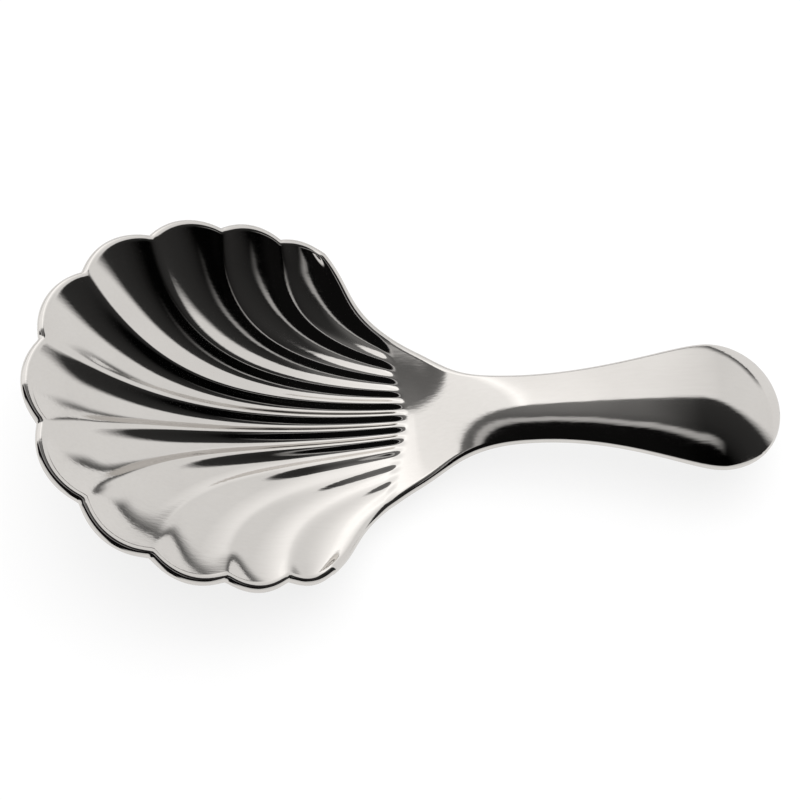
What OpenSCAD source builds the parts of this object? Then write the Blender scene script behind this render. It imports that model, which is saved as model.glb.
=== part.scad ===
// Tea caddy scoop: a scallop-shell bowl and a domed handle, pressed from steel sheet.
// Lengths are millimetres. X runs from the bowl's tip to the handle's end, and Z is up.
// The shape is drawn with the bowl's rim level and the seam at X = 0, then tilted onto the table.

/* [Sheet] */
// Thickness of the steel sheet
sheet_t = 1.4; // [1:0.1:1.8]

/* [Bowl] */
// Length of the oval that the notches of the rim lie on
bowl_l = 47; // [43:0.5:51]
// Width of that oval
bowl_w = 43.4; // [39:0.2:48]
// Depth of the dish below its rim
bowl_depth = 6.6; // [5:0.2:8]
// Distance from the middle of the oval to the seam
heel_reach = 22.5; // [20.5:0.5:24.5]
// Width of the sheet at the seam
heel_w = 16; // [14:0.2:18]
// Angle from the bowl's tip round to its last corner
fan_angle = 117; // [108:1:122]
// Angle from the axis at which the side edge runs into that corner
side_angle = 44; // [40:1:52]

/* [Flutes] */
// Number of lobes in the shell
lobe_count = 11; // [9:2:13]
// Width of the middle lobe over the mean lobe
lobe_spread = 1.26; // [1.1:0.02:1.34]
// Bulge of each lobe at the rim, as a share of its width
scallop = 0.1; // [0.06:0.01:0.14]
// Depth of the flutes beside the heel
flute_heel = 0.42; // [0.2:0.02:0.7]
// Depth of the flutes at the belly
flute_belly = 0.8; // [0.5:0.05:1.3]
// Depth of the flutes at the rim
flute_rim = 0.55; // [0.3:0.05:1]
// Plain sheet between the seam and the middle flute
flute_gap = 0.8; // [0.6:0.1:2]

/* [Handle] */
// Distance from the seam to the narrowest part of the neck
neck_reach = 11.8; // [10:0.2:14]
// Width of the neck there
neck_w = 7.3; // [6:0.1:9]
// Distance from the seam to the widest part of the handle
grip_reach = 33.2; // [30:0.2:36]
// Width of the handle there
grip_w = 14.8; // [12:0.2:17]
// Length of the rounded end beyond the widest part
grip_end = 7.7; // [6:0.1:9]
// Height of the arch's top above the rim
arch_h = 13.9; // [11:0.1:16]
// Distance from the seam to the arch's top
arch_reach = 44.5; // [41:0.5:49]
// Radius of the arch, seen from the side
arch_r = 75; // [65:1:90]
// Crown of the neck above its edges
neck_crown = 1.1; // [0.8:0.1:2]
// Crown of the handle above its edges
grip_crown = 2.3; // [1.6:0.1:3.2]

/* [Rest] */
// Tilt of the level rim when the scoop lies on a table
rest_tilt = 15; // [10:0.5:20]
// Depth of the flat that wear leaves on the belly, where it lies on the table
rest_flat = 0.15; // [0.05:0.05:0.3]

/* [Hidden] */

half_l = bowl_l / 2;
half_w = bowl_w / 2;
half_heel = heel_w / 2;
edge_r = sheet_t / 2;

// Pull of the flute curves towards the axis at the heel, and square to the rim
heel_pull = 0.53;
rim_pull = 0.34;
heel_flare = 1.7;
// How late across the shell the flutes turn to run with its side edge
side_power = 4.4;
// How far the two corners of the shell stand out beyond the oval, and how late that starts
corner_reach = 0.65;
corner_power = 12;
// Share of a flute's length at which its depth starts to change towards the rim
belly_end = 0.84;
// How far the line of the flutes' ends bows back at the sides, and the length of those ends
flute_bow = 1.8;
flute_ramp = 1.6;
// Share of the flutes' depth that the outer flutes lack, and where across the shell it goes
flute_fade = 0.5;
fade_start = 0.2;
fade_end = 0.6;
// Half width of the rounding along each ridge, and the most of a lobe's width that it may take
crest = 0.5;
crest_limit = 0.4;
// Bezier pulls of the handle's outline: flare at the seam and neck, body at the neck and grip
flare_pull = [0.3, 0.62];
body_pull = [0.46, 0.17];
// Power of the handle's crowned section: 2 is a parabola, more has a flatter top
crown_power = 2;

// Grid of the pressed sheet
lobe_steps = 8;
bowl_rows = 22;
handle_columns = 22;
handle_rows = [12, 12, 9];
edge_angles = [45, 90, 135];
// How much closer its lines are at the ridges, and at the heel and the rim
ridge_crowding = 0.4;
row_crowding = 0.8;
// Step for finite differences, and the last place on the handle where they can be taken
probe = 0.002;
last_s = 3 - 10 * probe;

function clamp(x, lo, hi) = max(lo, min(hi, x));
function smooth(t) = let (c = clamp(t, 0, 1)) c * c * (3 - 2 * c);
function unit(v) = v / norm(v);
function bezier(t, a, b, c, d) =
    pow(1 - t, 3) * a + 3 * t * pow(1 - t, 2) * b + 3 * t * t * (1 - t) * c + pow(t, 3) * d;

// Plain dish under the flutes, and its slopes: a paraboloid with a level rim
function dish_z(x, y) = -bowl_depth * (1 - pow((x + heel_reach) / half_l, 2) - pow(y / half_w, 2));
function dish_slope(x, y) =
    2 * bowl_depth * [(x + heel_reach) / pow(half_l, 2), y / pow(half_w, 2)];
function dish_normal(x, y) = let (s = dish_slope(x, y)) unit([-s[0], -s[1], 1]);

// Fan of the lobes: t runs from -1 to 1 across the shell, angles are measured from the tip
function lobe_side(v) = 2 * v / lobe_count - 1;
function lobe_part(v) = v - floor(clamp(v, 0, lobe_count - probe));
function fan_at(t) = fan_angle * (lobe_spread * t - (lobe_spread - 1) * pow(t, 3));
function lobe_width(t) =
    half_w * PI / 180 * fan_angle * (lobe_spread - 3 * (lobe_spread - 1) * t * t) * 2 / lobe_count;
function rim_normal(t) = let (a = fan_at(t)) unit([-cos(a) * half_w, sin(a) * half_l]);
function rim_point(v) =
    let (
        t = lobe_side(v),
        w = lobe_part(v),
        a = fan_at(t),
        bulge = scallop * lobe_width(t) * 4 * w * (1 - w) + corner_reach * pow(abs(t), corner_power)
    )
    [-heel_reach - half_l * cos(a), half_w * sin(a)] + bulge * rim_normal(t);

// Plan of a flute line from the heel (u = 0) to the rim (u = 1)
function heading(t) =
    let (a = fan_at(t) * (1 - (1 - side_angle / fan_angle) * pow(abs(t), side_power)))
    [-cos(a), sin(a)];
function flute_line(u, v) =
    let (
        t = lobe_side(v),
        heel = [0, half_heel * t],
        rim = rim_point(v),
        run = norm(rim - heel)
    )
    bezier(u, heel, [-heel_pull * run, heel_flare * heel.y], rim - heading(t) * rim_pull * run, rim);

// Flutes: 0 on a ridge and 1 in the middle of a lobe, times a depth along the line
function crest_share(u, t) =
    let (heel = heel_w / lobe_count)
    min(crest_limit, crest / (heel + (lobe_width(t) - heel) * u * u));
function trough(w, c) =
    let (
        q = min(w, 1 - w),
        r = sqrt(q * q + c * c) - c,
        m = sqrt(0.25 + c * c) - c
    )
    r * (2 * m - r) / (m * m);
function flute_depth(u, x, t) =
    let (
        start = smooth((-flute_gap - flute_bow * t * t - x) / flute_ramp),
        belly = flute_heel + (flute_belly - flute_heel) * min(1, u / belly_end),
        outer = 1 - flute_fade * smooth((abs(t) - fade_start) / (fade_end - fade_start)),
        fade = smooth((u - belly_end) / (1 - belly_end))
    )
    start * belly * outer * (1 - fade) + flute_rim * fade;

// Middle of the bowl's sheet
function bowl_mid(u, v) =
    let (
        p = flute_line(u, v),
        t = lobe_side(v),
        rise = (0.5 - trough(lobe_part(v), crest_share(u, t))) * flute_depth(u, p.x, t)
    )
    [p.x, p.y, dish_z(p.x, p.y)] + rise * dish_normal(p.x, p.y);

// Outline of the handle: s runs 0 to 1 down the flare, 1 to 2 along the body, 2 to 3 round the end
function side_run() = norm(rim_point(lobe_count) - [0, half_heel]);
function flare_slope() = -half_heel * (heel_flare - 1) / (heel_pull * side_run());
function flare_line(s) =
    bezier(
        s,
        [0, half_heel],
        [flare_pull[0] * neck_reach, half_heel + flare_slope() * flare_pull[0] * neck_reach],
        [(1 - flare_pull[1]) * neck_reach, neck_w / 2],
        [neck_reach, neck_w / 2]
    );
function body_line(s) =
    let (run = grip_reach - neck_reach)
    bezier(
        s,
        [neck_reach, neck_w / 2],
        [neck_reach + body_pull[0] * run, neck_w / 2],
        [grip_reach - body_pull[1] * run, grip_w / 2],
        [grip_reach, grip_w / 2]
    );
function end_line(s) = [grip_reach + grip_end * sin(90 * s), grip_w / 2 * cos(90 * s)];
function handle_line(s) = s < 1 ? flare_line(s) : s < 2 ? body_line(s - 1) : end_line(s - 2);

// Middle of the handle's sheet: the dish runs on from the seam and turns into a crowned arch
function crown_at(s, e) =
    s < 2 ?
    (neck_crown + (grip_crown - neck_crown) * smooth(s - 1)) * (1 - pow(abs(e), crown_power)) :
    grip_crown * (1 - pow(norm([sin(90 * (s - 2)), e * cos(90 * (s - 2))]), crown_power));
function handle_mid(s, e) =
    let (
        p = handle_line(s),
        y = p.y * e,
        arch = arch_h - pow(p.x - arch_reach, 2) / (2 * arch_r),
        turn = smooth(p.x / neck_reach)
    )
    [p.x, y, dish_z(p.x, y) * (1 - turn) + (arch + crown_at(s, e)) * turn];

// Directions in which the sheets are thickened, equal at the seam
function bowl_normal(u, v) = let (p = flute_line(u, v)) dish_normal(p.x, p.y);
function handle_normal(s, e) =
    s == 0 ? dish_normal(0, half_heel * e) :
    let (
        k = min(s, last_s),
        along = handle_mid(k + probe, e) - handle_mid(k - probe, e),
        across = handle_mid(k, min(1, e + probe)) - handle_mid(k, max(-1, e - probe))
    )
    unit(cross(along, across));

// One ring of the sheet's skin: top face, rounded +Y edge, bottom face, rounded -Y edge
function skin_ring(mids, normals, far_out, near_out) =
    let (last = len(mids) - 1)
    concat(
        [for (i = [0:last]) mids[i] + edge_r * normals[i]],
        [for (a = edge_angles) mids[last] + edge_r * (cos(a) * normals[last] + sin(a) * far_out)],
        [for (i = [last:-1:0]) mids[i] - edge_r * normals[i]],
        [for (a = edge_angles) mids[0] + edge_r * (-cos(a) * normals[0] + sin(a) * near_out)]
    );

// Grid lines, closer together at the ridges, the heel and the rim
lobe_line = [
    for (i = [0 : lobe_count * lobe_steps])
        let (k = i / lobe_steps, w = k - floor(k)) floor(k) + w - ridge_crowding * sin(360 * w) / (2 * PI)
];
bowl_line = [
    for (i = [0:bowl_rows])
        let (k = i / bowl_rows) (1 - row_crowding) * k + row_crowding * smooth(k)
];
handle_across = [for (i = [0:handle_columns]) 2 * i / handle_columns - 1];
handle_along = [
    for (part = [0:2])
        for (i = [0 : handle_rows[part] - 1])
            part + i / handle_rows[part]
];

// Bowl: rings from the heel to the rim, one ring on the rim's rounding, and the rim's outermost line
function side_out(u, v) =
    let (
        along = bowl_mid(min(1, u + probe), v) - bowl_mid(max(0, u - probe), v),
        n = bowl_normal(u, v)
    )
    unit(v == 0 ? cross(n, along) : cross(along, n));
function bowl_ring(u) =
    skin_ring(
        [for (v = lobe_line) bowl_mid(u, v)],
        [for (v = lobe_line) bowl_normal(u, v)],
        side_out(u, lobe_count),
        side_out(u, 0)
    );
rim_mids = [for (v = lobe_line) bowl_mid(1, v)];
rim_normals = [for (v = lobe_line) bowl_normal(1, v)];
rim_outs = [
    for (i = [0 : len(lobe_line) - 1])
        let (d = rim_normal(lobe_side(lobe_line[i])), n = rim_normals[i], flat = [d.x, d.y, 0])
        unit(flat - (flat * n) * n)
];
function rim_edge(i, a) = rim_mids[i] + edge_r * (cos(a) * rim_normals[i] + sin(a) * rim_outs[i]);
function corner_edge(i, a, side) =
    rim_mids[i] + edge_r * (cos(a) * rim_normals[i] + sin(a) * unit(side + rim_outs[i]));
function rounded_rim() =
    let (
        last = len(rim_mids) - 1,
        far_out = side_out(1, lobe_count),
        near_out = side_out(1, 0)
    )
    concat(
        [for (i = [0:last]) rim_edge(i, 45)],
        [for (a = edge_angles) corner_edge(last, a, far_out)],
        [for (i = [last:-1:0]) rim_edge(i, 135)],
        [for (a = edge_angles) corner_edge(0, 180 - a, near_out)]
    );
bowl_rings = concat([for (u = bowl_line) bowl_ring(u)], [rounded_rim()]);
bowl_tip = [for (i = [0 : len(rim_mids) - 1]) rim_mids[i] + edge_r * rim_outs[i]];

// Handle: rings from the seam to the end, closed by one line down the end's rounding
function handle_out(s, e) =
    let (
        along = handle_mid(s + probe, e) - handle_mid(max(0, s - probe), e),
        n = handle_normal(s, e)
    )
    unit(e > 0 ? cross(n, along) : cross(along, n));
function handle_ring(s) =
    skin_ring(
        [for (e = handle_across) handle_mid(s, e)],
        [for (e = handle_across) handle_normal(s, e)],
        handle_out(s, 1),
        handle_out(s, -1)
    );
handle_rings = [for (s = handle_along) handle_ring(s)];
end_mid = handle_mid(3, 0);
end_normal = handle_normal(3, 0);
end_out = unit([1, 0, 0] - end_normal.x * end_normal);
handle_tip = [
    for (a = concat([0], edge_angles, [180]))
        end_mid + edge_r * (cos(a) * end_normal + sin(a) * end_out)
];

// Points of the closing line that each ring point joins
function rim_join(n) =
    let (k = len(edge_angles))
    concat(
        [for (i = [0 : n - 1]) i],
        [for (i = [1:k]) n - 1],
        [for (i = [n - 1 : -1 : 0]) i],
        [for (i = [1:k]) 0]
    );
function end_join(n) =
    let (k = len(edge_angles))
    concat(
        [for (i = [0 : n - 1]) 0],
        [for (i = [1:k]) i],
        [for (i = [0 : n - 1]) k + 1],
        [for (i = [k:-1:1]) i]
    );

// Faces of a skin: the flat seam, the rings, and the closing line
function seam_faces(n) =
    let (
        k = len(edge_angles),
        low = 2 * n + k - 1,
        far = [for (i = [n - 1 : n + k]) i],
        near = concat([for (i = [0:k]) low + i], [0])
    )
    concat(
        [for (i = [0 : n - 2]) each [[i, i + 1, low - i - 1], [i, low - i - 1, low - i]]],
        [for (i = [1 : k]) [far[0], far[i], far[i + 1]]],
        [for (i = [1 : k]) [near[0], near[i], near[i + 1]]]
    );
function ring_faces(rows, m) = [
    for (r = [0 : rows - 2])
        for (i = [0 : m - 1])
            let (a = r * m + i, b = r * m + (i + 1) % m)
            each [[a, a + m, b + m], [a, b + m, b]]
];
function closing_faces(start, m, join) = [
    for (i = [0 : m - 1])
        let (
            j = (i + 1) % m,
            a = start + i,
            b = start + j,
            p = start + m + join[i],
            q = start + m + join[j]
        )
        each (p == q ? [[a, p, b]] : [[a, p, q], [a, q, b]])
];
function flipped(faces) = [for (f = faces) [f[2], f[1], f[0]]];

// Rest on the table: tilt, then centre over the origin with the worn flat at Z = 0
function tilted(p) =
    [p.x * cos(rest_tilt) + p.z * sin(rest_tilt), p.y, p.z * cos(rest_tilt) - p.x * sin(rest_tilt)];
bowl_points = [for (p = concat([for (r = bowl_rings) each r], bowl_tip)) tilted(p)];
handle_points = [for (p = concat([for (r = handle_rings) each r], handle_tip)) tilted(p)];
low_x = min([for (p = bowl_points) p.x]);
high_x = max([for (p = handle_points) p.x]);
low_z = min([for (p = concat(bowl_points, handle_points)) p.z]);
table = [(low_x + high_x) / 2, 0, low_z + rest_flat];
function set_down(p) = [p.x - table.x, p.y, max(0, p.z - table.z)];

module skin(points, rings, join, mirrored) {
    n = (len(rings[0]) - 2 * len(edge_angles)) / 2;
    m = len(rings[0]);
    faces = concat(
        seam_faces(n),
        ring_faces(len(rings), m),
        closing_faces((len(rings) - 1) * m, m, join)
    );
    polyhedron([for (p = points) set_down(p)], mirrored ? flipped(faces) : faces, convexity = 8);
}

// Fluted bowl, pressed from sheet
module bowl() {
    color("gainsboro") skin(bowl_points, bowl_rings, rim_join(len(lobe_line)), true);
}

// Domed handle, pressed from the same sheet and welded to the heel
module handle() {
    color("silver") skin(handle_points, handle_rings, end_join(len(handle_across)), false);
}

bowl();
handle();
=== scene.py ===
import math

import bmesh
import bpy
from mathutils import Matrix, Vector


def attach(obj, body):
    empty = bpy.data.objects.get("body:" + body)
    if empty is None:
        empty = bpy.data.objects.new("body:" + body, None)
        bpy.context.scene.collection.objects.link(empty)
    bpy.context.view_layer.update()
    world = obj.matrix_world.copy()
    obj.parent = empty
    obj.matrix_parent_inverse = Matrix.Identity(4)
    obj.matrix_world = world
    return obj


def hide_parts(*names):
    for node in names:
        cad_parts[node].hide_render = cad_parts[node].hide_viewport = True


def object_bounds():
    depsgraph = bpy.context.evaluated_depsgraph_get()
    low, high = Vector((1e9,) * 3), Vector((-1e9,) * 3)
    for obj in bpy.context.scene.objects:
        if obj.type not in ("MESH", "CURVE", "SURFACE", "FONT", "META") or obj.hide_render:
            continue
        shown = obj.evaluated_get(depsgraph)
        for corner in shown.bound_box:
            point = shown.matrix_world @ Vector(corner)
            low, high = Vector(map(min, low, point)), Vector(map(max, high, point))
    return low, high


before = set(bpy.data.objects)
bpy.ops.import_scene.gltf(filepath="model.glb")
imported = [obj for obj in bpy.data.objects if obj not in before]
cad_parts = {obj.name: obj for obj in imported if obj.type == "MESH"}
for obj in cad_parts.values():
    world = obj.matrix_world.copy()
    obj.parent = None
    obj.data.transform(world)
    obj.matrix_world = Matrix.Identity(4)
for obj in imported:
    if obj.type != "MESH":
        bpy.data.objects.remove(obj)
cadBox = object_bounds()
mm = 0.001
scene = bpy.context.scene
print("frame loaded:", sorted(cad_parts))


def hexColour(text):
    channels = [int(text[i:i + 2], 16) / 255 for i in (1, 3, 5)]
    return tuple(c / 12.92 if c <= 0.04045 else ((c + 0.055) / 1.055) ** 2.4 for c in channels) + (1.0,)


def addNode(tree, kind, settings=None, inputs=None, links=None):
    node = tree.nodes.new(kind)
    for name, value in (settings or {}).items():
        setattr(node, name, value)
    for name, value in (inputs or {}).items():
        node.inputs[name].default_value = value
    for name, output in (links or {}).items():
        tree.links.new(output, node.inputs[name])
    return node


def smoothStep(t):
    t = max(0.0, min(1.0, t))
    return t * t * (3 - 2 * t)


def bezier(t, a, b, c, d):
    return a * (1 - t) ** 3 + b * (3 * t * (1 - t) ** 2) + c * (3 * t * t * (1 - t)) + d * t ** 3


# Sizes in millimetres. The shape is drawn with a level rim and the weld at X = 0, as it was pressed.
sheet = {
    "thickness": 1.4,
    "restTilt": 15.0,               # degrees, lying free on its belly
    "wornFlat": 0.15,               # worn off the belly where it lies
    "edgeSteps": 6,                 # steps round each half of the rounded cut edge
    "mergeWithin": 0.0005,          # points closer than this become one
    "probe": 0.002,                 # step over which slopes are taken, as a share of a run
}
edgeR = sheet["thickness"] / 2
probe = sheet["probe"]


def tilted(p):
    c, s = math.cos(math.radians(sheet["restTilt"])), math.sin(math.radians(sheet["restTilt"]))
    return Vector((p.x * c + p.z * s, p.y, p.z * c - p.x * s)) * mm


def pressSheet(name, columns, rows, midAt, normalAt, sideOut, endOut):
    # One flat blank is wrapped right round the sheet: top face, far edge, under face, near edge.
    turns = 2 * sheet["edgeSteps"]
    round1, round2 = columns + turns, 2 * columns + turns
    wrap = 2 * columns + 2 * turns
    ends = sheet["edgeSteps"]
    mids = [[midAt(i, j) for i in range(columns + 1)] for j in range(rows + 1)]
    normals = [[normalAt(i, j) for i in range(columns + 1)] for j in range(rows + 1)]
    outs = [endOut(i) for i in range(columns + 1)]
    sides = [[sideOut(j, k) for k in (0, 1)] for j in range(rows + 1)]

    def place(k, r):
        j = max(0, min(rows, r - 1))
        k = k % wrap
        if k <= columns:
            i, around = k, 0.0
        elif k < round1:
            i, around = columns, 180.0 * (k - columns) / turns
        elif k <= round2:
            i, around = columns - (k - round1), 180.0
        else:
            i, around = 0, 180.0 - 180.0 * (k - round2) / turns
        mid, normal = mids[j][i], normals[j][i]
        if r == 0:
            return mid                                      # the weld's face, closed along its middle
        a = math.radians(around)
        edge = sides[j][1 if i else 0]
        if r <= rows + 1:
            return mid + (normal * math.cos(a) + edge * math.sin(a)) * edgeR
        b = math.radians(90.0 * (r - rows - 1) / ends)      # rows beyond the sheet roll over its end
        if 0 < around < 180:
            level = math.cos(a) * math.cos(b)
            flat = edge * (math.sin(a) * math.cos(b)) + outs[i] * math.sin(b)
            return mid + (normal * level + flat.normalized() * math.sqrt(1 - level * level)) * edgeR
        return mid + (normal * (math.cos(a) * math.cos(b)) + outs[i] * math.sin(b)) * edgeR

    bm = bmesh.new()
    total = rows + 1 + ends
    bmesh.ops.create_grid(bm, x_segments=wrap, y_segments=total, size=0.5)
    weldRing = set()
    for vert in bm.verts:
        k, r = round((vert.co.x + 0.5) * wrap), round((vert.co.y + 0.5) * total)
        vert.co = tilted(place(k, r))
        if r == 1:
            weldRing.add(vert)
    for edge in bm.edges:
        edge.smooth = not (edge.verts[0] in weldRing and edge.verts[1] in weldRing)
    merge = sheet["mergeWithin"] * mm
    bmesh.ops.remove_doubles(bm, verts=bm.verts, dist=merge)
    bmesh.ops.dissolve_degenerate(bm, edges=bm.edges, dist=merge)
    bmesh.ops.recalc_face_normals(bm, faces=bm.faces)
    for face in bm.faces:
        face.smooth = True
    mesh = bpy.data.meshes.new(name)
    bm.to_mesh(mesh)
    bm.free()
    piece = bpy.data.objects.new(name, mesh)
    scene.collection.objects.link(piece)
    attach(piece, "root")
    return piece


# Fluted shell
shell = {
    "length": 47.0, "width": 43.4, "depth": 6.6,    # oval through the rim's notches, and the dish under it
    "reach": 22.5,                                  # from the oval's middle to the weld
    "heelWidth": 16.0, "heelPull": 0.53, "heelFlare": 1.7,
    "fan": 117.0, "sideAngle": 44.0, "sidePower": 4.4, "rimPull": 0.34,
    "lobes": 11, "spread": 1.26, "scallop": 0.1, "cornerReach": 0.65, "cornerPower": 12,
    "fluteDepth": (0.42, 0.8, 0.55),                # at the heel, the belly and the rim
    "fluteFade": 0.5, "fadeSpan": (0.2, 0.6),       # the outer flutes are shallower
    "bellyEnd": 0.84, "fluteGap": 0.8, "fluteBow": 1.8, "fluteRamp": 1.6,
    "crest": 0.5, "crestLimit": 0.4,                # roundness of the ridges, and its most
    "lobeSteps": 24, "rows": 130, "crowding": 0.5,  # rows crowd at the heel and the rim
}


def dishHeight(x, y):
    along = (x + shell["reach"]) / (shell["length"] / 2)
    across = y / (shell["width"] / 2)
    return -shell["depth"] * (1 - along ** 2 - across ** 2)


def dishNormal(x, y):
    gx = 2 * shell["depth"] * (x + shell["reach"]) / (shell["length"] / 2) ** 2
    gy = 2 * shell["depth"] * y / (shell["width"] / 2) ** 2
    return Vector((-gx, -gy, 1)).normalized()


def fanAt(t):
    return shell["fan"] * (shell["spread"] * t - (shell["spread"] - 1) * t ** 3)


def lobeWidth(t):
    slope = shell["spread"] - 3 * (shell["spread"] - 1) * t * t
    return shell["width"] / 2 * math.radians(shell["fan"]) * slope * 2 / shell["lobes"]


def rimNormal(t):
    a = math.radians(fanAt(t))
    return Vector((-math.cos(a) * shell["width"], math.sin(a) * shell["length"])).normalized()


def rimPoint(v):
    t, w, a = lobeSide(v), lobePart(v), math.radians(fanAt(lobeSide(v)))
    scallop = shell["scallop"] * lobeWidth(t) * 4 * w * (1 - w)
    bulge = scallop + shell["cornerReach"] * abs(t) ** shell["cornerPower"]
    oval = Vector((-shell["reach"] - shell["length"] / 2 * math.cos(a), shell["width"] / 2 * math.sin(a)))
    return oval + rimNormal(t) * bulge


def lobeSide(v):
    return 2 * v / shell["lobes"] - 1


def lobePart(v):
    return v - max(0, min(shell["lobes"] - 1, math.floor(v)))


def fluteLine(u, v):
    t = lobeSide(v)
    heel, rim = Vector((0, shell["heelWidth"] / 2 * t)), rimPoint(v)
    run = (rim - heel).length
    a = math.radians(fanAt(t) * (1 - (1 - shell["sideAngle"] / shell["fan"]) * abs(t) ** shell["sidePower"]))
    leave = Vector((-shell["heelPull"] * run, shell["heelFlare"] * heel.y))
    arrive = rim - Vector((-math.cos(a), math.sin(a))) * shell["rimPull"] * run
    return bezier(u, heel, leave, arrive, rim)


def fluteRise(u, v, x):
    t, w = lobeSide(v), lobePart(v)
    heel, belly, rim = shell["fluteDepth"]
    start = smoothStep((-shell["fluteGap"] - shell["fluteBow"] * t * t - x) / shell["fluteRamp"])
    fade = smoothStep((u - shell["bellyEnd"]) / (1 - shell["bellyEnd"]))
    belly = heel + (belly - heel) * min(1, u / shell["bellyEnd"])
    fadeStart, fadeEnd = shell["fadeSpan"]
    belly *= 1 - shell["fluteFade"] * smoothStep((abs(t) - fadeStart) / (fadeEnd - fadeStart))
    depth = start * belly * (1 - fade) + rim * fade
    pitch = shell["heelWidth"] / shell["lobes"]
    crest = min(shell["crestLimit"], shell["crest"] / (pitch + (lobeWidth(t) - pitch) * u * u))
    q = math.hypot(min(w, 1 - w), crest) - crest
    m = math.hypot(0.5, crest) - crest
    return (0.5 - q * (2 * m - q) / (m * m)) * depth


def bowlMid(u, v):
    p = fluteLine(u, v)
    return Vector((p.x, p.y, dishHeight(p.x, p.y))) + dishNormal(p.x, p.y) * fluteRise(u, v, p.x)


def bowlU(j):
    k = j / shell["rows"]
    return (1 - shell["crowding"]) * k + shell["crowding"] * smoothStep(k)


def bowlSide(j, k):
    u, v = bowlU(j), shell["lobes"] * k
    along = bowlMid(min(1, u + probe), v) - bowlMid(max(0, u - probe), v)
    p = fluteLine(u, v)
    n = dishNormal(p.x, p.y)
    return (along.cross(n) if k else n.cross(along)).normalized()


def bowlEnd(i):
    v = i / shell["lobeSteps"]
    p = rimPoint(v)
    d, n = rimNormal(lobeSide(v)).to_3d(), dishNormal(p.x, p.y)
    return (d - n * d.dot(n)).normalized()


def bowlNormal(i, j):
    p = fluteLine(bowlU(j), i / shell["lobeSteps"])
    return dishNormal(p.x, p.y)


bowl = pressSheet(
    "shell_bowl", shell["lobes"] * shell["lobeSteps"], shell["rows"],
    lambda i, j: bowlMid(bowlU(j), i / shell["lobeSteps"]), bowlNormal, bowlSide, bowlEnd,
)
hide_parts("bowl")
print("bowl pressed:", len(bowl.data.polygons), "faces")


# Domed handle
grip = {
    "neckReach": 11.8, "neckWidth": 7.3,
    "gripReach": 33.2, "gripWidth": 14.8, "endLength": 7.7,
    "flarePull": (0.3, 0.62), "bodyPull": (0.46, 0.17),
    "archHeight": 13.9, "archReach": 44.5, "archRadius": 75.0,
    "neckCrown": 1.1, "gripCrown": 2.3, "crownPower": 2.0,
    "columns": 132, "flareRows": 60, "bodyRows": 70, "endRows": 40,
}
endCorner = 45.0                 # degrees, where the end's last row meets its sides
cosCorner = math.sqrt(0.5)


def gripOutline(s):
    heel = shell["heelWidth"] / 2
    neck, wide = grip["neckWidth"] / 2, grip["gripWidth"] / 2
    sideRun = (rimPoint(shell["lobes"]) - Vector((0, heel))).length
    slope = -heel * (shell["heelFlare"] - 1) / (shell["heelPull"] * sideRun)
    if s < 1:
        first, last = (pull * grip["neckReach"] for pull in grip["flarePull"])
        a, b = Vector((0, heel)), Vector((first, heel + slope * first))
        return bezier(s, a, b, Vector((grip["neckReach"] - last, neck)), Vector((grip["neckReach"], neck)))
    run = grip["gripReach"] - grip["neckReach"]
    first, last = (pull * run for pull in grip["bodyPull"])
    a, b = Vector((grip["neckReach"], neck)), Vector((grip["neckReach"] + first, neck))
    return bezier(s - 1, a, b, Vector((grip["gripReach"] - last, wide)), Vector((grip["gripReach"], wide)))


def handleMid(s, e):
    wide = grip["gripWidth"] / 2
    if s <= 2:
        p = gripOutline(s)
        x, y = p.x, p.y * e
        crown = grip["neckCrown"] + (grip["gripCrown"] - grip["neckCrown"]) * smoothStep(s - 1)
        crown *= 1 - abs(e) ** grip["crownPower"]
    else:
        q = s - 2                                        # rows bend from straight across to the rounded end
        a, b = math.radians(endCorner * q), math.radians(endCorner * e)
        bow = (math.cos(b) - cosCorner) / (1 - cosCorner)
        along = math.sin(a) + (math.sin(math.radians(2 * endCorner * q)) - math.sin(a)) * bow
        across = math.cos(a) * ((1 - q) * e + q * math.sin(b) / cosCorner)
        x, y = grip["gripReach"] + grip["endLength"] * along, wide * across
        crown = grip["gripCrown"] * (1 - math.hypot(along, across) ** grip["crownPower"])
    arch = grip["archHeight"] - (x - grip["archReach"]) ** 2 / (2 * grip["archRadius"])
    turn = smoothStep(x / grip["neckReach"])
    return Vector((x, y, dishHeight(x, y) * (1 - turn) + (arch + crown) * turn))


def handleS(j):
    for part, count in enumerate((grip["flareRows"], grip["bodyRows"], grip["endRows"])):
        if j <= count:
            return part + j / count
        j -= count


def handleE(i):
    return 2 * i / grip["columns"] - 1


def handleNormal(i, j):
    s, e = handleS(j), handleE(i)
    if s == 0:
        return dishNormal(0, shell["heelWidth"] / 2 * e)
    along = handleMid(min(3, s + probe), e) - handleMid(s - probe, e)
    across = handleMid(s, min(1, e + probe)) - handleMid(s, max(-1, e - probe))
    return along.cross(across).normalized()


def handleSide(j, k):
    s, e = handleS(j), 2 * k - 1
    along = handleMid(min(3, s + probe), e) - handleMid(max(0, s - probe), e)
    n = handleNormal(grip["columns"] * k, j)
    return (n.cross(along) if k else along.cross(n)).normalized()


def handleEnd(i):
    b = math.radians(endCorner * handleE(i))
    n = handleNormal(i, grip["flareRows"] + grip["bodyRows"] + grip["endRows"])
    d = Vector((math.cos(b) * grip["gripWidth"] / 2, math.sin(b) * grip["endLength"], 0)).normalized()
    return (d - n * d.dot(n)).normalized()


handle = pressSheet(
    "domed_handle", grip["columns"], grip["flareRows"] + grip["bodyRows"] + grip["endRows"],
    lambda i, j: handleMid(handleS(j), handleE(i)), handleNormal, handleSide, handleEnd,
)
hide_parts("handle")
print("handle pressed:", len(handle.data.polygons), "faces")


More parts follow.
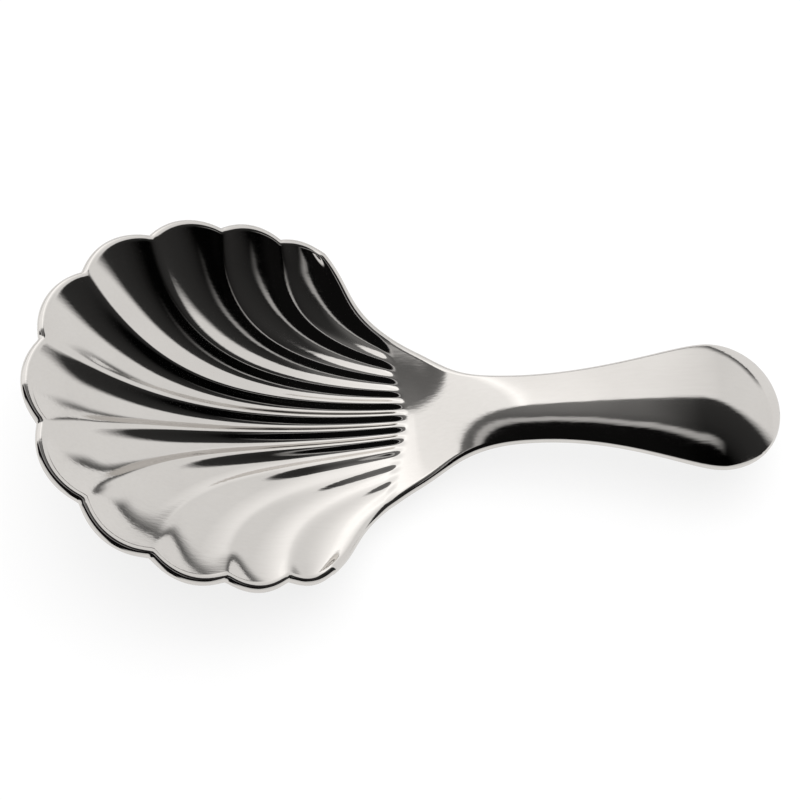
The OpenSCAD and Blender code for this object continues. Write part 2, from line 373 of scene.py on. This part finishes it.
# Both pieces are worn flat where they lie, and set down together where the frame has them.
places = [vert.co for piece in (bowl, handle) for vert in piece.data.vertices]
endX = [pick(place.x for place in places) for pick in (min, max)]
lowZ = min(place.z for place in places) + sheet["wornFlat"] * mm
for place in places:
    place.z = max(place.z, lowZ)
setDown = Vector(((cadBox[0][0] + cadBox[1][0] - sum(endX)) / 2, 0.0, cadBox[0][2] - lowZ))
for piece in (bowl, handle):
    piece.data.transform(Matrix.Translation(setDown))
print("set down:", [round(step / mm, 3) for step in setDown], "mm")


# Stainless steel, pressed and then buffed to a mirror: clear but slightly wavy reflections,
# softened in cloudy patches where it has been handled, with hairlines left by the buffing wheel.
steel = {
    "bright": "#d4d1cd", "dulled": "#c8c4c0",
    "roughness": (0.04, 0.12), "wornRange": (0.3, 0.7),
    "cloudSize": 7.0,         # mm, handled patches
    "hairline": 0.3,          # mm between hairlines, drawn coarser than real ones so that they show
    "hairlineStretch": 14.0, "hairlineShare": 0.35,
    "hairlineDepth": 0.003,   # mm
    "waveSize": 10.0,         # mm, ripple left by the press
    "waveHeight": 0.11,       # mm
}


def makeSteel():
    material = bpy.data.materials.new("buffed_stainless_steel")
    material.use_nodes = True
    tree = material.node_tree
    shader = tree.nodes["Principled BSDF"]
    shader.inputs["Metallic"].default_value = 1.0
    where = addNode(tree, "ShaderNodeTexCoord").outputs["Object"]
    cloud = addNode(
        tree, "ShaderNodeTexNoise", {}, {"Scale": 1 / (steel["cloudSize"] * mm), "Detail": 3.0},
        {"Vector": where},
    )
    drawn = addNode(
        tree, "ShaderNodeMapping", {}, {"Scale": (1 / steel["hairlineStretch"], 1.0, 1.0)}, {"Vector": where}
    )
    hair = addNode(
        tree, "ShaderNodeTexNoise", {}, {"Scale": 1 / (steel["hairline"] * mm), "Detail": 2.0},
        {"Vector": drawn.outputs["Vector"]},
    )
    worn = addNode(
        tree, "ShaderNodeMix", {"data_type": "FLOAT"}, {"Factor": steel["hairlineShare"]},
        {"A": cloud.outputs["Fac"], "B": hair.outputs["Fac"]},
    )
    tone = addNode(
        tree, "ShaderNodeMix", {"data_type": "RGBA"},
        {"A": hexColour(steel["bright"]), "B": hexColour(steel["dulled"])},
        {"Factor": worn.outputs["Result"]},
    )
    tree.links.new(tone.outputs["Result"], shader.inputs["Base Color"])
    smoothest, roughest = steel["roughness"]
    leastWorn, mostWorn = steel["wornRange"]
    rough = addNode(
        tree, "ShaderNodeMapRange", {},
        {"From Min": leastWorn, "From Max": mostWorn, "To Min": smoothest, "To Max": roughest},
        {"Value": worn.outputs["Result"]},
    )
    tree.links.new(rough.outputs["Result"], shader.inputs["Roughness"])
    wave = addNode(
        tree, "ShaderNodeTexNoise", {}, {"Scale": 1 / (steel["waveSize"] * mm), "Detail": 1.0},
        {"Vector": where},
    )
    rippled = addNode(
        tree, "ShaderNodeBump", {}, {"Strength": 1.0, "Distance": steel["waveHeight"] * mm},
        {"Height": wave.outputs["Fac"]},
    )
    scratched = addNode(
        tree, "ShaderNodeBump", {}, {"Strength": 1.0, "Distance": steel["hairlineDepth"] * mm},
        {"Height": hair.outputs["Fac"], "Normal": rippled.outputs["Normal"]},
    )
    tree.links.new(scratched.outputs["Normal"], shader.inputs["Normal"])
    return material


polished = makeSteel()
for piece in (bowl, handle):
    piece.data.materials.append(polished)
print("steel ready")


# Pale floor
sweep = {
    "halfWidth": 4.0,         # metres
    "paper": "#f8f8f8",
    "lift": 0.8,              # share of plain white in what is seen, the rest keeps the shadow
}
bm = bmesh.new()
bmesh.ops.create_grid(bm, x_segments=1, y_segments=1, size=sweep["halfWidth"])
floorMesh = bpy.data.meshes.new("floor")
bm.to_mesh(floorMesh)
bm.free()
floor = bpy.data.objects.new("floor", floorMesh)
scene.collection.objects.link(floor)
paper = bpy.data.materials.new("white_paper_sweep")
paper.use_nodes = True
tree = paper.node_tree
matt = tree.nodes["Principled BSDF"]
matt.inputs["Base Color"].default_value = hexColour(sweep["paper"])
matt.inputs["Roughness"].default_value = 1.0
matt.inputs["Specular IOR Level"].default_value = 0.0
ray = addNode(tree, "ShaderNodeLightPath")
direct = addNode(
    tree, "ShaderNodeMath", {"operation": "MAXIMUM"},
    links={0: ray.outputs["Is Camera Ray"], 1: ray.outputs["Is Glossy Ray"]},
)
seenRay = addNode(
    tree, "ShaderNodeMath", {"operation": "MAXIMUM"},
    links={0: direct.outputs["Value"], 1: ray.outputs["Is Transmission Ray"]},
)
lifted = addNode(
    tree, "ShaderNodeMath", {"operation": "MULTIPLY"}, {1: sweep["lift"]}, {0: seenRay.outputs["Value"]}
)
glow = addNode(tree, "ShaderNodeEmission", {}, {"Color": (1, 1, 1, 1), "Strength": 1.0})
blend = addNode(tree, "ShaderNodeMixShader", links={"Fac": lifted.outputs["Value"]})
tree.links.new(matt.outputs["BSDF"], blend.inputs[1])
tree.links.new(glow.outputs["Emission"], blend.inputs[2])
tree.links.new(blend.outputs["Shader"], tree.nodes["Material Output"].inputs["Surface"])
floor.data.materials.append(paper)
print("floor laid")


# Studio: one broad light behind the scoop, dark towards the camera.
# Its levels go by how far a direction points to the light and to the light's right, each from -1 to 1.
studio = {
    "wrap": (0.25, 0.45),           # where the light starts to wrap round towards the handle, and how fast
    "lightEdge": (0.34, 0.4, 0.2),  # where the dark room gives way to the light, softer as it wraps
    "leftWrap": 0.09,               # it comes a little further round on the left
    "lightFoot": (0.02, 0.14, 0.12),  # the light is dimmer close to the table
    "footBehind": (0.5, 0.7),       # but only straight behind the scoop
    "light": (
        (-1.0, 1.2), (-0.35, 1.3), (-0.22, 1.7), (-0.1, 1.4),
        (0.0, 1.3), (0.2, 1.12), (0.4, 0.98), (1.0, 1.0),
    ),
    # the dark room's levels, and those of a lit strip in it
    "room": ((-1.0, 0.005), (-0.42, 0.006), (-0.25, 0.14), (-0.1, 0.2), (0.1, 0.24), (0.4, 0.3), (1.0, 0.34)),
    "strip": ((-1.0, 0.0), (-0.43, 0.0), (-0.37, 0.5), (-0.31, 0.5), (-0.26, 0.0), (1.0, 0.0)),
    "roomSlant": (0.2, 0.6),        # where its levels start to slant back on the left, and how fast
    "roomFade": (-0.08, 0.25, 0.14),  # and it is darker to the right
    "stripFade": (0.2, 0.5, 0.0),
    "cards": (                      # low cards for the other views: where, edge and full as cosines, level
        ((-0.85, -0.5, 0.1), (0.85, 0.92), 0.9), ((0.25, -0.97, 0.0), (0.85, 0.94), 0.9),
        ((0.74, -0.67, 0.06), (0.9, 0.955), 0.9),
    ),
    "fill": 2.4, "fillSpread": 70.0, "fillFrom": (0.1, 0.3, 1.0),
}
world = bpy.data.worlds.new("studio")
scene.world = world
world.use_nodes = True
tree = world.node_tree
tree.nodes.clear()


def levelsAlong(value, levels):
    spread = addNode(tree, "ShaderNodeMapRange", {}, {"From Min": -1.0, "From Max": 1.0}, {"Value": value})
    ramp = addNode(tree, "ShaderNodeValToRGB", links={"Fac": spread.outputs["Result"]})
    stops = ramp.color_ramp.elements
    while len(stops) < len(levels):
        stops.new(0.5)
    for stop, (place, level) in zip(stops, levels):
        stop.position = (place + 1) / 2
        stop.color = (level, level, level, 1)
    return ramp.outputs["Color"]


direction = addNode(tree, "ShaderNodeTexCoord").outputs["Generated"]
axes = addNode(tree, "ShaderNodeSeparateXYZ", links={"Vector": direction})
wrapStart, wrapRate = studio["wrap"]
pastStart = addNode(tree, "ShaderNodeMath", {"operation": "SUBTRACT"}, {1: wrapStart}, {0: axes.outputs["X"]})
wrapped = addNode(tree, "ShaderNodeMath", {"operation": "MAXIMUM"}, {1: 0.0}, {0: pastStart.outputs["Value"]})
toLight = addNode(
    tree, "ShaderNodeMath", {"operation": "MULTIPLY_ADD"}, {1: wrapRate},
    {0: wrapped.outputs["Value"], 2: axes.outputs["Y"]},
)
edgeStart, edgeEnd, edgeSoft = studio["lightEdge"]
footStart, footEnd, footLevel = studio["lightFoot"]
behindStart, behindEnd = studio["footBehind"]
slantStart, slantRate = studio["roomSlant"]
beforeSlant = addNode(
    tree, "ShaderNodeMath", {"operation": "SUBTRACT"}, {0: slantStart}, {1: axes.outputs["X"]}
)
slanted = addNode(
    tree, "ShaderNodeMath", {"operation": "MAXIMUM"}, {1: 0.0}, {0: beforeSlant.outputs["Value"]}
)
nearEdge = addNode(
    tree, "ShaderNodeMath", {"operation": "MULTIPLY_ADD"}, {1: -edgeSoft, 2: edgeStart},
    {0: wrapped.outputs["Value"]},
)
roundLeft = addNode(
    tree, "ShaderNodeMath", {"operation": "MULTIPLY_ADD"}, {1: studio["leftWrap"]},
    {0: slanted.outputs["Value"], 2: toLight.outputs["Value"]},
)
pastEdge = addNode(
    tree, "ShaderNodeMapRange", {"interpolation_type": "SMOOTHSTEP"}, {"From Max": edgeEnd},
    {"Value": roundLeft.outputs["Value"], "From Min": nearEdge.outputs["Value"]},
)
nearTable = addNode(
    tree, "ShaderNodeMapRange", {"interpolation_type": "SMOOTHSTEP"},
    {"From Min": footStart, "From Max": footEnd, "To Min": footLevel - 1, "To Max": 0.0},
    {"Value": axes.outputs["Z"]},
)
behind = addNode(
    tree, "ShaderNodeMapRange", {"interpolation_type": "SMOOTHSTEP"},
    {"From Min": behindStart, "From Max": behindEnd}, {"Value": axes.outputs["Y"]},
)
aboveFoot = addNode(
    tree, "ShaderNodeMath", {"operation": "MULTIPLY_ADD"}, {2: 1.0},
    {0: nearTable.outputs["Result"], 1: behind.outputs["Result"]},
)
light = addNode(
    tree, "ShaderNodeVectorMath", {"operation": "SCALE"},
    links={0: levelsAlong(axes.outputs["X"], studio["light"]), "Scale": aboveFoot.outputs["Value"]},
)
acrossRoom = addNode(
    tree, "ShaderNodeMath", {"operation": "MULTIPLY_ADD"}, {1: -slantRate},
    {0: slanted.outputs["Value"], 2: toLight.outputs["Value"]},
)


def darkerRight(levels, fade):
    start, end, level = studio[fade]
    fading = addNode(
        tree, "ShaderNodeMapRange", {"interpolation_type": "SMOOTHSTEP"},
        {"From Min": start, "From Max": end, "To Min": 1.0, "To Max": level}, {"Value": axes.outputs["X"]},
    )
    tones = levelsAlong(acrossRoom.outputs["Value"], studio[levels])
    return addNode(
        tree, "ShaderNodeVectorMath", {"operation": "SCALE"},
        links={0: tones, "Scale": fading.outputs["Result"]},
    ).outputs["Vector"]


room = addNode(
    tree, "ShaderNodeVectorMath", {"operation": "ADD"},
    links={0: darkerRight("room", "roomFade"), 1: darkerRight("strip", "stripFade")},
)
surround = addNode(
    tree, "ShaderNodeMix", {"data_type": "RGBA"}, {},
    {"Factor": pastEdge.outputs["Result"], "A": room.outputs["Vector"], "B": light.outputs["Vector"]},
)
around = surround.outputs["Result"]
for towards, (cardEnd, cardFull), level in studio["cards"]:
    facing = addNode(
        tree, "ShaderNodeVectorMath", {"operation": "DOT_PRODUCT"}, {1: Vector(towards).normalized()},
        {0: direction},
    )
    card = addNode(
        tree, "ShaderNodeMapRange", {"interpolation_type": "SMOOTHSTEP"},
        {"From Min": cardEnd, "From Max": cardFull}, {"Value": facing.outputs["Value"]},
    )
    around = addNode(
        tree, "ShaderNodeMix", {"data_type": "RGBA"}, {"B": (level, level, level, 1)},
        {"Factor": card.outputs["Result"], "A": around},
    ).outputs["Result"]
seen = addNode(tree, "ShaderNodeLightPath")
shade = addNode(
    tree, "ShaderNodeMix", {"data_type": "RGBA"}, {"B": (1, 1, 1, 1)},
    {"Factor": seen.outputs["Is Camera Ray"], "A": around},
)
sky = addNode(tree, "ShaderNodeBackground", links={"Color": shade.outputs["Result"]})
addNode(tree, "ShaderNodeOutputWorld", links={"Surface": sky.outputs["Background"]})

fill = bpy.data.lights.new("fill", "SUN")
fill.energy = studio["fill"]
fill.angle = math.radians(studio["fillSpread"])
fillLamp = bpy.data.objects.new("fill", fill)
fillLamp.rotation_euler = Vector(studio["fillFrom"]).to_track_quat("Z", "Y").to_euler()
fillLamp.visible_glossy = False      # lights the paper, leaves no spot in the steel
scene.collection.objects.link(fillLamp)
scene.view_settings.view_transform = "Standard"
print("studio lit")


# Camera
view = {
    "azimuth": -15.441, "elevation": 66.55, "roll": 14.069,     # degrees
    "distance": 271.6, "target": (-1.132, 0.974, 6.779),        # mm
    "lens": 103.489, "sensor": 36.0,                            # mm
    "clipStart": 0.01,                                          # metres
}
az, el, roll = (math.radians(view[k]) for k in ("azimuth", "elevation", "roll"))
back = Vector((math.sin(az) * math.cos(el), -math.cos(az) * math.cos(el), math.sin(el)))
right = Vector((math.cos(az), math.sin(az), 0))
up = back.cross(right)
rolledRight = right * math.cos(roll) + up * math.sin(roll)
rolledUp = up * math.cos(roll) - right * math.sin(roll)
cameraData = bpy.data.cameras.new("camera")
cameraData.sensor_width = view["sensor"]
cameraData.lens = view["lens"]
cameraData.clip_start = view["clipStart"]
camera = bpy.data.objects.new("camera", cameraData)
turned = Matrix((rolledRight, rolledUp, back)).transposed().to_4x4()
camera.matrix_world = Matrix.Translation((Vector(view["target"]) + back * view["distance"]) * mm) @ turned
scene.collection.objects.link(camera)
scene.camera = camera

print("camera set")
